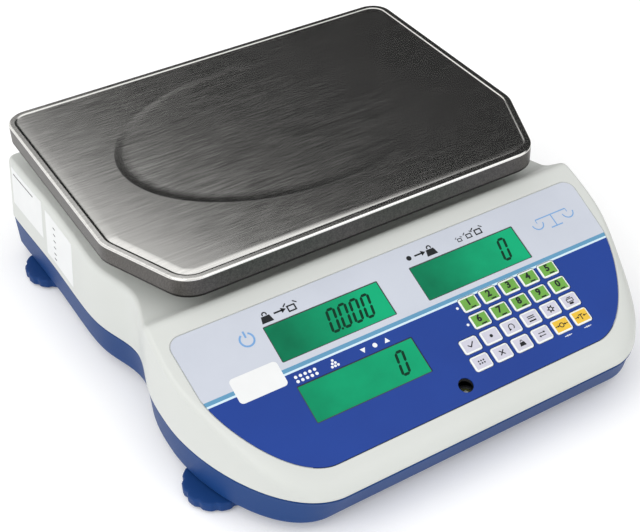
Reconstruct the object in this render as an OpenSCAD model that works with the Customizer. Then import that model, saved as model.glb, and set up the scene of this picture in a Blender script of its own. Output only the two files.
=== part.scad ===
// Bench counting scale: a lift-off pan on a single-point load cell, with a sloped keypad console.
// X is across, Y runs from the console (-) to the rear (+), Z is up from the surface it stands on.
// The origin is on that surface, under the middle of the housing. Lengths are in millimetres.

/* [Housing] */
// Half of the housing's depth, from the nose to the rear wall
body_half_d = 177.8; // [174:0.2:184]
// Half width of the housing at the join of its two shells
body_half_w = 155; // [153:1:160]
// How far each side pinches in between the pan and the console
waist_depth = 11; // [0:1:14]
// Height of the join between the white shell and the blue base
join_z = 33; // [31:1:35]
// Height of the base's underside above the table
base_z = 9; // [9:1:10]
// Height of the deck under the pan
deck_z = 80; // [78:1:81]
// Wall thickness of both shells
wall = 2.6; // [2.2:0.1:3]

/* [Console] */
// Slope of the control panel
panel_tilt = 22.6; // [21:0.2:24]
// Where the panel film's upper edge lies, from the middle of the housing
panel_y = -64.5; // [-66:0.1:-63]
// Height of the panel film's upper edge
panel_z = 85.5; // [84:0.1:86]
// Length of the panel film down the slope
film_len = 107.5; // [105:0.5:108]
// Half width of the panel film at its upper edge
film_half_w = 145.2; // [143:0.2:146]
// Thickness of the panel film
film_t = 0.8; // [0.6:0.1:0.8]

/* [Displays] */
// Width of the visible part of each display
lcd_w = 78; // [74:1:79]
// Height of the visible part of each display
lcd_h = 25; // [22:1:26]

/* [Keys] */
// Distance between keys across the panel
key_pitch_x = 15; // [14:0.5:15]
// Distance between keys down the panel
key_pitch_s = 12.2; // [12.2:0.1:12.4]
// Width of a key
key_w = 12.6; // [11:0.2:13]
// Height of a key
key_h = 10; // [9:0.2:10.4]
// How far a key can be pressed
key_travel = 0.4; // [0.2:0.1:0.6]

/* [Pan] */
// Width of the weighing pan
pan_w = 300; // [290:1:304]
// Depth of the weighing pan
pan_d = 225; // [215:1:226]
// Height of the pan's rim above the table
pan_z = 110; // [109:1:112]
// Depth of the pan's turned-down skirt
pan_skirt = 14; // [10:1:16]
// Sheet thickness of the pan
pan_gauge = 1.2; // [0.8:0.1:1.5]
// Half width of the oval groove pressed into the pan
groove_half_w = 109; // [80:1:115]
// Half depth of the oval groove pressed into the pan
groove_half_d = 79; // [60:1:85]

/* [Feet] */
// Mean distance of the feet from the centre line
foot_x = 142; // [140:1:143]
// Radius of a foot's knob
foot_r = 21; // [16:0.5:21]
// How far a foot screws out
foot_travel = 5; // [3:0.5:6]

/* [Hidden] */
$fn = 48;
eps = 0.01;

white = [0.89, 0.90, 0.88];
blue = [0.13, 0.25, 0.60];
steel = [0.66, 0.66, 0.65];
green = [0.36, 0.68, 0.20];
yellow = [0.93, 0.85, 0.20];

pan_y = body_half_d - pan_d / 2 - 6;
waist_y = -10;
waist_spread = 29;
rear_corner_r = 11;
corner_start_y = -76.2;
nose_half_w = 95;
floor_z = base_z + 3;
foot_front = [foot_x - 2, -105.7];
foot_rear = [foot_x + 2, 134.8];
foot_places = [[-foot_front.x, foot_front.y], foot_front, [-foot_rear.x, foot_rear.y], foot_rear];
screw_places = [[66, 155.8], [-66, 155.8], [129, -12.2], [-129, -12.2], [112, -146.2], [-112, -146.2]];
cell_y = pan_y;
cell_hole_x = [37, 53];
cell_z = [24, 46];
hub_z = [70, 88];
arm_z = [88, 100];
arm_reach = [112, 80];
stop_gap = 0.6;
board_z = 20;
board_low = [-126, -132.2];
board_size = [105, 92];
lcd_places = [[-51.8, 27.6], [49, 28], [-52, 69]];
key_x0 = 17;
key_s0 = 52;
level_s = 97.4;
battery_low = [-53.5, pan_y + 31, 12.5];
battery_size = [107, 70, 47];
switch_place = [100, -66.2];
rocker_tilt = 8;
rocker_pivot_z = 2.5;
serial_x = 90;
inlet_x = 125;
port_z = 21;
port_face_y = body_half_d - 1.6;

// ---- Shared geometry ----

function smooth(t) = let (u = min(1, max(0, t))) u * u * (3 - 2 * u);
function unit(v) = v / norm(v);
function mirrored(pts) = [for (i = [len(pts) - 1 : -1 : 0]) [-pts[i].x, pts[i].y]];

// The lower of a and b, blended over a height k.
function soft_min(a, b, k) = min(a, b) - pow(max(k - abs(a - b), 0), 2) / (4 * k);
function soft_max(a, b, k) = -soft_min(-a, -b, k);

// Arc of radius r that rounds corner v between its neighbours a and b.
function corner_arc(a, v, b, r, n) =
    let (u = unit(a - v), w = unit(b - v), half = acos(u * w) / 2,
         c = v + unit(u + w) * r / sin(half),
         s = v + u * r / tan(half) - c, e = v + w * r / tan(half) - c,
         start = atan2(s.y, s.x), turn = (atan2(e.y, e.x) - start + 540) % 360 - 180)
    [for (k = [0 : n]) c + r * [cos(start + turn * k / n), sin(start + turn * k / n)]];

function rounded(pts, radii, n = 6) =
    let (m = len(pts))
    [for (i = [0 : m - 1]) each corner_arc(pts[(i + m - 1) % m], pts[i], pts[(i + 1) % m], radii[i], n)];

function round_rect(w, h, r) =
    rounded([[w, h] / 2, [-w, h] / 2, [-w, -h] / 2, [w, -h] / 2], [r, r, r, r], 4);

function bezier(p, t) =
    pow(1 - t, 3) * p[0] + 3 * t * pow(1 - t, 2) * p[1] + 3 * t * t * (1 - t) * p[2] + pow(t, 3) * p[3];

// Places its children in the panel's own frame: X across, Y up the slope, Z out of the panel.
module on_panel() {
    translate([0, panel_y, panel_z]) rotate([panel_tilt, 0, 0]) children();
}

// ---- Housing shape ----

// Height of the housing's top surface at depth y: panel, ridge, then deck.
function panel_height(y) = panel_z + tan(panel_tilt) * (y - panel_y);
function ridge_back(y) = panel_z + 4.9 - 0.7 * (y - panel_y - 11.5);
function top_height(y) = soft_min(panel_height(y), soft_max(ridge_back(y), deck_z, 3), 3);

// Half width of the housing at its join, at depth y.
function side_half(y) =
    body_half_w - waist_depth * exp(-pow((y - waist_y) / waist_spread, 2)) + 2.5 * smooth((y - 90) / 85);

rear_arc_y = body_half_d - rear_corner_r;
rear_arc_x = side_half(rear_arc_y) - rear_corner_r;
corner_curve = [
    [side_half(corner_start_y), corner_start_y], [side_half(corner_start_y), -118],
    [130, -body_half_d], [nose_half_w, -body_half_d]
];
// The right half of the join's outline, from the rear wall to the nose.
outline = concat(
    [for (a = [90 : -15 : 0]) [rear_arc_x, rear_arc_y] + rear_corner_r * [cos(a), sin(a)]],
    [for (y = [rear_arc_y - 8 : -8 : 42]) [side_half(y), y]],
    [for (y = [38 : -4 : -38]) [side_half(y), y]],
    [for (y = [-41 : -2.5 : -71]) [side_half(y), y]],
    [for (k = [0 : 20]) bezier(corner_curve, k / 20)]
);
last = len(outline) - 1;
outward = [for (i = [0 : last])
    i == 0 ? [0, 1] : i == last ? [0, -1] :
    let (t = unit(outline[i + 1] - outline[i - 1])) [-t.y, t.x]];

// A full ring of points, a distance in from the outline and at a height, both given per point.
function ring(inset, height) =
    let (right = [for (i = [0 : last]) outline[i] - outward[i] * inset[i]])
    [for (i = [0 : last]) [right[i].x, right[i].y, height[i]],
     for (i = [last : -1 : 0]) [-right[i].x, right[i].y, height[i]]];

// Faces of a shell made of outer rings, then inner rings, that starts at its open rim.
function quad(a, b, c, d) = [[a, b, c], [a, c, d]];
function shell_faces(outer_n, inner_n, m) =
    let (first = outer_n * m, outer_end = (outer_n - 1) * m, inner_end = (outer_n + inner_n - 1) * m)
    [for (j = [0 : outer_n - 2], k = [0 : m - 1])
        each quad(j * m + k, j * m + (k + 1) % m, (j + 1) * m + (k + 1) % m, (j + 1) * m + k),
     for (j = [0 : inner_n - 2], k = [0 : m - 1])
        each quad(first + j * m + k, first + (j + 1) * m + k,
                  first + (j + 1) * m + (k + 1) % m, first + j * m + (k + 1) % m),
     for (k = [0 : m - 1]) each quad(k, first + k, first + (k + 1) % m, (k + 1) % m),
     for (i = [0 : m / 2 - 2])
        [outer_end + i, outer_end + i + 1, outer_end + m - 2 - i, outer_end + m - 1 - i],
     for (i = [0 : m / 2 - 2])
        [inner_end + i, inner_end + m - 1 - i, inner_end + m - 2 - i, inner_end + i + 1]];

module ring_shell(outer, inner, upside_down = false) {
    m = len(outer[0]);
    faces = shell_faces(len(outer), len(inner), m);
    turned = [for (f = faces) upside_down ? [for (k = [len(f) - 1 : -1 : 0]) f[k]] : f];
    polyhedron(concat([for (r = outer) each r], [for (r = inner) each r]), turned, convexity = 10);
}

// The rounding between the side wall and the top widens and flattens towards the nose.
nose = [for (p = outline) smooth((-84 - p.y) / 85)];
edge_in = [for (g = nose) 3.2 + 6.3 * g];
edge_drop = [for (i = [0 : last]) min(3.8 + 2.2 * nose[i], 0.93 * (top_height(outline[i].y) - join_z))];
draft = [for (i = [0 : last])
    let (g = nose[i]) 1.5 * (1 - g) + 0.3 * g + 9 * g * (1 - g) + 3 * smooth((outline[i].y - 6) / 60)];
roof_t = wall / cos(panel_tilt);

function roof_ring(a, depth, k) =
    let (inset = [for (i = [0 : last]) draft[i] + edge_in[i] * (1 - cos(a)) + depth],
         height = [for (i = [0 : last])
             let (y = outline[i].y - outward[i].y * inset[i])
             max(top_height(y) - edge_drop[i] * (1 - sin(a)) - (depth > 0 ? roof_t : 0),
                 join_z + 0.05 * (k + 1))])
    ring(inset, height);
function flat_ring(inset, z) = ring([for (i = outline) inset], [for (i = outline) z]);

upper_outer = concat([flat_ring(0, join_z)], [for (k = [0 : 4]) roof_ring(22.5 * k, 0, k)]);
upper_inner = concat([flat_ring(wall, join_z)], [for (k = [0 : 2 : 4]) roof_ring(22.5 * k, wall, k)]);

// The base leans in under the nose and hardly at all at the sides.
lean = [for (n = outward) 0.6 + 9.5 * pow(max(0, -n.y), 3) + 1.5 * max(0, n.y)];
function base_ring(part, extra, z) =
    ring([for (l = lean) 0.4 + l * part + extra], [for (l = lean) z]);
lower_outer = [
    base_ring(0, 0, join_z), base_ring(0.9, 0, base_z + 2.5),
    base_ring(1, 0.7, base_z + 0.8), base_ring(1, 2.4, base_z)
];
lower_inner = [
    base_ring(0, wall, join_z), base_ring(0.86, wall, floor_z + 2), base_ring(1, wall + 2, floor_z)
];

// ---- Outlines on the panel ----

// Right half of the film, from its upper corner down to its lower edge; Y is up the slope.
film_corner = [[film_half_w - 1.2, -40], [film_half_w - 2.5, -58], [120, -film_len], [92, -film_len]];
film_right = concat(
    corner_arc([0, 0], [film_half_w, 0], [film_half_w, -30], 8, 6),
    [for (k = [0 : 20]) bezier(film_corner, k / 20)]
);
function key_place(column, row) = [key_x0 + column * key_pitch_x, -key_s0 - row * key_pitch_s];
key_columns = [[1 : 5], [1 : 5], [0 : 5], [0 : 5]];

module film_outline() {
    polygon(concat(film_right, mirrored(film_right)));
}

module at_displays() {
    for (p = lcd_places) translate([p.x, -p.y]) children();
}

// ---- Pan and platform ----

// The pan's plan, a distance in from its edge: square behind, with its front corners cut off.
function pan_plan(inset) =
    let (w = pan_w / 2, d = pan_d / 2, cut = [25, 60], slant = norm(cut),
         side = d - cut.y - inset * (slant - cut.y) / cut.x,
         front = w - cut.x - inset * (slant - cut.x) / cut.y,
         right = [[w - inset, d - inset], [w - inset, -side], [front, inset - d]],
         r = [15 - min(inset, 8), 22, 20])
    rounded(concat(right, mirrored(right)), concat(r, [r[2], r[1], r[0]]));

function oval(a, b) = [for (k = [0 : 5 : 355]) [a * cos(k), b * sin(k)]];

module weighing_pan() {
    color(steel) translate([0, pan_y, 0]) difference() {
        translate([0, 0, pan_z - pan_skirt]) linear_extrude(pan_skirt) polygon(pan_plan(0));
        translate([0, 0, pan_z - pan_skirt - 1])
            linear_extrude(pan_skirt + 1 - 0.8 - pan_gauge) polygon(pan_plan(pan_gauge));
        translate([0, 0, pan_z - 0.8]) linear_extrude(2) polygon(pan_plan(5));
        translate([0, 7, pan_z - 1.2]) linear_extrude(2) difference() {
            polygon(oval(groove_half_w + 1.5, groove_half_d + 1.5));
            polygon(oval(groove_half_w - 1.5, groove_half_d - 1.5));
        }
    }
}

module at_arm_ends() {
    for (sx = [-1, 1], sy = [-1, 1]) translate([sx * arm_reach.x, pan_y + sy * arm_reach.y, 0]) children();
}

module pan_support() {
    arm_len = norm(arm_reach);
    arm_angle = atan2(arm_reach.y, arm_reach.x);
    color("silver") translate([0, pan_y, 0]) difference() {
        union() {
            translate([0, 0, arm_z[0]]) linear_extrude(arm_z[1] - arm_z[0]) {
                for (a = [arm_angle, -arm_angle]) rotate(a) square([2 * arm_len, 16], center = true);
                for (sx = [-1, 1], sy = [-1, 1])
                    translate([sx * arm_reach.x, sy * arm_reach.y]) circle(r = 11);
                translate([-35, -30]) square([110, 60]);
            }
            translate([17, -18, hub_z[0]]) cube([56, 36, hub_z[1] - hub_z[0] + 5]);
        }
        for (x = cell_hole_x) translate([x, 0, hub_z[0] - 1]) cylinder(r = 3.05, h = 40);
    }
}

module pan_pads() {
    color("dimgray") at_arm_ends() translate([0, 0, arm_z[1]]) cylinder(r = 8, h = pan_z - 2 - arm_z[1]);
}

module platform_bolts() {
    color("gray") for (x = cell_hole_x) translate([x, pan_y, 0]) difference() {
        union() {
            translate([0, 0, cell_z[0] + 8]) cylinder(r = 3, h = arm_z[1] - cell_z[0] - 8);
            translate([0, 0, arm_z[1]]) cylinder(r = 5, h = 5);
        }
        translate([0, 0, arm_z[1] + 2.5]) cylinder(r = 2.9, h = 5, $fn = 6);
    }
}

module load_cell_top_block() {
    color("silver") difference() {
        translate([25, cell_y - 15, cell_z[1]]) cube([40, 30, hub_z[0] - cell_z[1]]);
        for (x = cell_hole_x) translate([x, cell_y, cell_z[1] - 1]) cylinder(r = 3.05, h = 40);
    }
}

// ---- Housing ----

module upper_housing() {
    color(white) difference() {
        union() {
            ring_shell(upper_outer, upper_inner);
            for (p = screw_places) translate([p.x, p.y, join_z + 0.3])
                cylinder(r = 4.5, h = top_height(p.y - 4.5) - 0.8 - join_z);
        }
        on_panel() {
            translate([0, 0, -film_t + 0.2]) linear_extrude(8) film_outline();
            at_displays() translate([-lcd_w / 2 - 0.4, -lcd_h / 2 - 0.4, -8])
                cube([lcd_w + 0.8, lcd_h + 0.8, 16]);
            translate([key_x0 - 9, -key_s0 - 3.5 * key_pitch_s, -8])
                cube([5 * key_pitch_x + 18, 3.5 * key_pitch_s + 7, 16]);
        }
        level_place() translate([0, 0, -12]) cylinder(r = 4.75, h = 24);
        translate([9, pan_y - 26, deck_z - 10]) cube([71, 52, 20]);
        at_arm_ends() translate([0, 0, deck_z - 10]) cylinder(r = 2.05, h = 20);
        for (p = screw_places) translate([p.x, p.y, join_z]) cylinder(r = 1.5, h = 13);
    }
}

module lower_housing() {
    color(blue) difference() {
        union() {
            ring_shell(lower_outer, lower_inner, upside_down = true);
            for (p = foot_places) translate([p.x, p.y, base_z + 1]) cylinder(r = 9, h = 18);
            for (p = screw_places)
                translate([p.x, p.y, base_z + 1]) cylinder(r = 5, h = join_z - base_z - 1);
            translate([-68, cell_y - 18, base_z + 1]) cube([46, 36, 6]);
            translate([0, level_y, base_z + 1]) cylinder(r = 9, h = level_seat_z - base_z - 1);
            for (x = [6, board_size.x - 6], y = [6, board_size.y - 6])
                translate([board_low.x + x, board_low.y + y, base_z + 1])
                    cylinder(r = 3.5, h = board_z - base_z - 1);
        }
        for (p = foot_places) translate([p.x, p.y, base_z - 1]) cylinder(r = 6, h = 30);
        for (p = screw_places) translate([p.x, p.y, base_z - 1]) {
            cylinder(r = 2, h = 40);
            cylinder(r = 4, h = 4.2);
        }
        for (x = cell_hole_x) translate([-x, cell_y, base_z - 1]) {
            cylinder(r = 3.05, h = 20);
            cylinder(r = 5.4, h = 5);
        }
        translate([battery_low.x - 3, battery_low.y - 2.5, base_z - 1])
            cube([battery_size.x + 6, battery_size.y + 5, 8]);
        translate([switch_place.x - 9.6, switch_place.y - 6.6, base_z - 1]) cube([19.2, 13.2, 8]);
        translate([serial_x - 10, body_half_d - 12, port_z - 5.5]) cube([20, 20, 11]);
        translate([inlet_x, body_half_d - 12, port_z]) rotate([-90, 0, 0]) cylinder(r = 6, h = 20);
    }
}

module housing_screws() {
    color("gray") for (p = screw_places) translate([p.x, p.y, base_z]) difference() {
        union() {
            translate([0, 0, 0.6]) cylinder(r = 3.6, h = 2.6);
            translate([0, 0, 3.2]) cylinder(r = 1.45, h = join_z + 10 - base_z - 3.2);
        }
        for (a = [0, 90]) rotate([0, 0, a]) translate([-2, -0.5, 0]) cube([4, 1, 1.8]);
    }
}

// ---- Control panel ----

module panel_overlay() {
    color([0.80, 0.82, 0.90]) on_panel() translate([0, 0, 0.2 - film_t]) linear_extrude(film_t) difference() {
        film_outline();
        at_displays() square([lcd_w, lcd_h], center = true);
        for (row = [0 : 3], column = key_columns[row])
            translate(key_place(column, row)) square([key_w + 0.6, key_h + 0.6], center = true);
        translate([0, -level_s]) circle(r = 4.75);
    }
}

// One key: a low cap with a printed face and a plunger under it.
module panel_key(column, row, tint) {
    color(tint) on_panel() translate(concat(key_place(column, row), 0)) {
        translate([0, 0, -1.4]) linear_extrude(1.9) polygon(round_rect(key_w, key_h, 1.8));
        translate([0, 0, -2]) cylinder(r = 2, h = 1);
    }
}

// A display: glass in the panel's window on a wider module behind the housing's wall.
module display(which) {
    p = lcd_places[which];
    on_panel() translate([p.x, -p.y, 0]) {
        color([0.05, 0.62, 0.38]) translate([-lcd_w / 2 + 0.1, -lcd_h / 2 + 0.1, -3])
            cube([lcd_w - 0.2, lcd_h - 0.2, 2.7]);
        color("dimgray") translate([-lcd_w / 2 - 3.5, -lcd_h / 2 - 4, -7.9]) cube([lcd_w + 7, lcd_h + 8, 5]);
    }
}

module display_board() {
    color("darkgreen") on_panel() {
        translate([-98, -88, -9.6]) cube([98 + 95, 80, 1.6]);
        for (x = [-90, -60, 30, 60]) translate([x, -50, -12]) cube([16, 9, 2.5]);
    }
}

// The keypad's board, with a snap dome under each key.
module keypad_board() {
    color("green") on_panel() {
        translate([key_x0 - 8.5, -key_s0 - 3.5 * key_pitch_s + 0.5, -4.6])
            cube([5 * key_pitch_x + 17, 3.5 * key_pitch_s + 6, 1.6]);
        for (row = [0 : 3], column = key_columns[row])
            translate(concat(key_place(column, row), -3 - eps))
                cylinder(r = 3.5, h = 0.95 + eps - key_travel);
    }
}

level_y = panel_y - level_s * cos(panel_tilt);
level_seat_z = panel_z - level_s * sin(panel_tilt) - 11;
module level_place() {
    translate([0, level_y, level_seat_z + 11]) children();
}

module level_vial() {
    color("palegreen") translate([0, level_y, level_seat_z]) {
        cylinder(r = 8.5, h = 1.5);
        cylinder(r = 6.5, h = 5);
    }
}

// ---- Electronics ----

module main_board() {
    color("darkgreen") translate([board_low.x, board_low.y, board_z]) {
        cube([board_size.x, board_size.y, 1.6]);
        for (p = [[20, 20], [48, 26], [74, 60]]) translate([p.x, p.y, 1.5]) cube([16, 16, 2.6]);
        for (p = [[12, 62], [30, 70]]) translate([p.x, p.y, 1.5]) cylinder(r = 5, h = 13);
        translate([60, 10, 1.5]) cube([26, 8, 10]);
        translate([84, 80, 1.5]) cube([14, 8, 8]);
    }
}

module buzzer() {
    color("black") translate([board_low.x + 88, board_low.y + 40, board_z + 1.6]) difference() {
        cylinder(r = 6, h = 9);
        translate([0, 0, 7]) cylinder(r = 1, h = 4);
    }
}

module power_inlet() {
    color("black") translate([inlet_x, port_face_y, port_z]) rotate([90, 0, 0]) {
        difference() {
            union() {
                cylinder(r = 5.8, h = 15);
                translate([-6.5, -6.5, 5.5]) cube([13, 13, 6]);
            }
            translate([0, 0, -1]) cylinder(r = 2.8, h = 11);
        }
        translate([0, 0, 1]) cylinder(r = 1, h = 10);
    }
}

module serial_port() {
    color("silver") translate([serial_x, port_face_y, port_z]) rotate([90, 0, 0]) difference() {
        union() {
            linear_extrude(8) polygon([[-8.2, 4], [8.2, 4], [6.8, -4], [-6.8, -4]]);
            translate([-15.4, -6.2, 6]) cube([30.8, 12.4, 1.2]);
            translate([-9.6, -5.4, 7]) cube([19.2, 10.8, 9]);
        }
        for (k = [-2 : 2]) translate([k * 2.76, 1.4, -1]) cylinder(r = 0.6, h = 5);
        for (k = [-1.5 : 1.5]) translate([k * 2.76, -1.4, -1]) cylinder(r = 0.6, h = 5);
    }
}

module power_switch() {
    color("black") translate([switch_place.x, switch_place.y, base_z]) difference() {
        union() {
            translate([-11, -8, -1.2]) cube([22, 16, 1.2]);
            translate([-9.5, -6.5, -1]) cube([19, 13, 15]);
        }
        translate([-9, -5.6, -2]) cube([18, 11.2, 11]);
        translate([0, 7, rocker_pivot_z]) rotate([90, 0, 0]) cylinder(r = 1.25, h = 14);
    }
}

// The rocker leans one way at rest, on a pivot pin that runs into the switch's side walls.
module power_rocker() {
    color("darkred") translate([switch_place.x, switch_place.y, base_z + rocker_pivot_z])
        rotate([0, rocker_tilt, 0]) {
            translate([0, 5.3, 0]) rotate([90, 0, 0]) linear_extrude(10.6)
                polygon([[-8.2, 3.5], [8.2, 3.5], [8.2, -4.4], [0, -3.3], [-8.2, -4.4]]);
            translate([0, 6.3, 0]) rotate([90, 0, 0]) cylinder(r = 1.2, h = 12.6);
        }
}

module load_cell() {
    color("lightgray") difference() {
        translate([-65, cell_y - 15, cell_z[0]]) cube([130, 30, cell_z[1] - cell_z[0]]);
        translate([0, cell_y + 16, (cell_z[0] + cell_z[1]) / 2]) rotate([90, 0, 0]) {
            for (x = [-12, 12]) translate([x, 0, 0]) cylinder(r = 8, h = 32);
            translate([-12, -4, 0]) cube([24, 8, 32]);
        }
        for (x = cell_hole_x) {
            translate([x, cell_y, cell_z[0] + 7]) cylinder(r = 3.05, h = 30);
            translate([-x, cell_y, cell_z[0] - 1]) cylinder(r = 3.05, h = 18);
        }
    }
}

module load_cell_base_block() {
    color("silver") difference() {
        translate([-65, cell_y - 15, base_z + 7]) cube([40, 30, cell_z[0] - base_z - 7]);
        for (x = cell_hole_x) translate([-x, cell_y, base_z]) cylinder(r = 3.05, h = 30);
    }
}

module load_cell_bolts() {
    color("gray") for (x = cell_hole_x) translate([-x, cell_y, base_z]) difference() {
        union() {
            translate([0, 0, 0.5]) cylinder(r = 5, h = 3.5);
            translate([0, 0, 4]) cylinder(r = 3, h = cell_z[0] + 16 - base_z - 4);
        }
        cylinder(r = 2.9, h = 2.5, $fn = 6);
    }
}

module overload_stops() {
    color("gray") at_arm_ends() {
        translate([0, 0, deck_z - 8]) cylinder(r = 2, h = 9);
        translate([0, 0, deck_z]) cylinder(r = 5, h = arm_z[0] - stop_gap - deck_z);
    }
}

module battery() {
    color([0.25, 0.25, 0.27]) {
        translate(battery_low) cube(battery_size);
        for (y = [12, 56]) translate(battery_low + [-2, y, battery_size.z - 12]) cube([2.5, 5, 8]);
    }
}

module battery_cover() {
    color(blue) translate([battery_low.x - 2.7, battery_low.y - 2.2, base_z])
        cube([battery_size.x + 5.4, battery_size.y + 4.4, 3]);
}

// A round tube along a path: rings of points square to it, closed at both ends.
function tube_points(path, r, n) =
    [for (i = [0 : len(path) - 1])
        let (t = unit(path[min(i + 1, len(path) - 1)] - path[max(i - 1, 0)]),
             u = unit(cross(t, [1, 0.02, 0.01])), v = cross(t, u))
        for (k = [0 : n - 1]) path[i] + r * (cos(360 * k / n) * u + sin(360 * k / n) * v)];

module tube(path, r, n = 10) {
    rings = len(path);
    polyhedron(tube_points(path, r, n), concat(
        [[for (k = [0 : n - 1]) k]],
        [for (i = [0 : rings - 2], k = [0 : n - 1])
            each quad(i * n + k, (i + 1) * n + k, (i + 1) * n + (k + 1) % n, i * n + (k + 1) % n)],
        [[for (k = [n - 1 : -1 : 0]) (rings - 1) * n + k]]));
}

module load_cell_cable() {
    start = [-66, cell_y - 8, 35];
    end = [board_low.x + 91, board_low.y + 89, board_z + 6];
    route = [start, start + [-30, -20, 0], end + [6, 60, 8], end];
    color("dimgray") tube([for (k = [0 : 16]) bezier(route, k / 16)], 2);
}

// A flat cable between the two boards, bent in the YZ plane.
module display_ribbon() {
    route = [[-104.2, board_z + 11.6], [-104.2, board_z + 26], [-122.2, board_z + 22], [-105.7, 52.5]];
    mid = [for (k = [0 : 16]) bezier(route, k / 16)];
    side = [for (k = [0 : 16])
        let (t = unit(mid[min(k + 1, 16)] - mid[max(k - 1, 0)])) 0.4 * [-t.y, t.x]];
    color("lightgray") translate([board_low.x + 62, 0, 0]) rotate([90, 0, 90]) linear_extrude(20)
        polygon(concat(mid + side, [for (k = [16 : -1 : 0]) mid[k] - side[k]]));
}

// ---- Feet ----

module foot_inserts() {
    color("goldenrod") for (p = foot_places) translate([p.x, p.y, base_z]) difference() {
        cylinder(r = 6, h = 16);
        translate([0, 0, -1]) cylinder(r = 4, h = 18);
    }
}

module foot_stud(which) {
    p = foot_places[which];
    color("silver") translate([p.x, p.y, 3.05]) cylinder(r = 3.95, h = base_z + 12 + foot_travel - 3.05);
}

// The knob under the base, fluted for the fingers.
module foot_knob(which) {
    p = foot_places[which];
    color(blue) translate([p.x, p.y, 0]) difference() {
        cylinder(r = foot_r, h = base_z - 1);
        for (k = [0 : 11])
            rotate(30 * k + 15) translate([foot_r + 1.6, 0, -1]) cylinder(r = 3, h = base_z + 1);
        translate([0, 0, 3]) cylinder(r = 4, h = 12);
    }
}

weighing_pan();
pan_support();
pan_pads();
platform_bolts();
load_cell_top_block();
upper_housing();
lower_housing();
panel_overlay();
panel_key(1, 0, green);  // key_1
panel_key(2, 0, green);  // key_2
panel_key(3, 0, green);  // key_3
panel_key(4, 0, green);  // key_4
panel_key(5, 0, green);  // key_5
panel_key(1, 1, green);  // key_6
panel_key(2, 1, green);  // key_7
panel_key(3, 1, green);  // key_8
panel_key(4, 1, green);  // key_9
panel_key(5, 1, green);  // key_0
panel_key(0, 2, white);  // key_check
panel_key(1, 2, white);  // key_point
panel_key(2, 2, white);  // key_recall
panel_key(3, 2, white);  // key_total
panel_key(4, 2, white);  // key_setup
panel_key(5, 2, white);  // key_print
panel_key(0, 3, white);  // key_sample
panel_key(1, 3, white);  // key_clear
panel_key(2, 3, white);  // key_piece_weight
panel_key(3, 3, white);  // key_units
panel_key(4, 3, yellow);  // key_zero
panel_key(5, 3, yellow);  // key_tare
display(0);  // weight_display
display(1);  // piece_weight_display
display(2);  // count_display
display_board();
keypad_board();
main_board();
buzzer();
power_inlet();
serial_port();
power_switch();
power_rocker();
load_cell();
load_cell_base_block();
load_cell_bolts();
overload_stops();
battery();
battery_cover();
level_vial();
load_cell_cable();
display_ribbon();
foot_inserts();
housing_screws();
foot_stud(0);  // foot_stud_front_left
foot_stud(1);  // foot_stud_front_right
foot_stud(2);  // foot_stud_rear_left
foot_stud(3);  // foot_stud_rear_right
foot_knob(0);  // foot_knob_front_left
foot_knob(1);  // foot_knob_front_right
foot_knob(2);  // foot_knob_rear_left
foot_knob(3);  // foot_knob_rear_right
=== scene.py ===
"""Looks of a bench counting scale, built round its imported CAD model.

Shapes are worked out in millimetres, in the object's own frame, and stored in metres.
The panel's own frame has X across, Y up the slope and Z out of the panel.
"""

import math

import bmesh
import bpy
import numpy as np
from mathutils import Matrix, Vector


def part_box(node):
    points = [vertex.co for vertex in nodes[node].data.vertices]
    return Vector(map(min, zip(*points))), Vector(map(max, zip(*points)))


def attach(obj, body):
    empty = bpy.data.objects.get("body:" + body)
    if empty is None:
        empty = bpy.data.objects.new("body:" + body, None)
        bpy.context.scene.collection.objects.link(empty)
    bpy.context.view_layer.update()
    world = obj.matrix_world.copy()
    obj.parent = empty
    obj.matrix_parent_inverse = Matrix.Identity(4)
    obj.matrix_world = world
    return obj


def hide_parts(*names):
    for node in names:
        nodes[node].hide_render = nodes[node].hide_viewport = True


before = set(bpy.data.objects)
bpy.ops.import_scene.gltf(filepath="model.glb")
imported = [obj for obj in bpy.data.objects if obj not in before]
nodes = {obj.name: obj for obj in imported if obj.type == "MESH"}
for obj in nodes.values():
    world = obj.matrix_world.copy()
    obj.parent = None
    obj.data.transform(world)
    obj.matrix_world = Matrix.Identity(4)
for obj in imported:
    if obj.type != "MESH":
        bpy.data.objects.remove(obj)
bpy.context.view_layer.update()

MM = 0.001

# ---- Driving sizes, in millimetres, as in the CAD model ----

BODY_HALF_D = 177.8
BODY_HALF_W = 155
WAIST_DEPTH = 11
WAIST_Y = -10
WAIST_SPREAD = 29
REAR_CORNER_R = 11
CORNER_START_Y = -76.2
NOSE_HALF_W = 95
JOIN_Z = 33
BASE_Z = 9
DECK_Z = 80
WALL = 2.6
PANEL_TILT = math.radians(22.6)
PANEL_Y = -64.5
PANEL_Z = 85.5
FILM_LEN = 107.5
FILM_HALF_W = 145.2
FILM_TOP = 0.2
FILM_BOTTOM = -0.6
BAND_STARTS = (44, 46.6, 47.9)
LCD_W = 78
LCD_H = 25
LCD_PLACES = {"weight": (-51.8, 27.6), "piece_weight": (49, 28), "count": (-52, 69)}
KEY_PITCH_X = 15
KEY_PITCH_S = 12.2
KEY_W = 12.6
KEY_H = 10
KEY_X0 = 17
KEY_S0 = 52
LEVEL_S = 97.4
PAN_W = 300
PAN_D = 225
PAN_SKIRT = 14
PAN_GAUGE = 1.2
GROOVE_HALF_W = 109
GROOVE_HALF_D = 79
GROOVE_BACK = 7
LEVEL_R = 4.75
HUB_HOLE_X = (9, 80)
HUB_HOLE_HALF_D = 26
FOOT_R = 21
STUD_R = 6
SCREW_HOLE_R = 4.2
SCREW_PLACES = [(66, 155.8), (-66, 155.8), (129, -12.2), (-129, -12.2), (112, -146.2), (-112, -146.2)]

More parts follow.
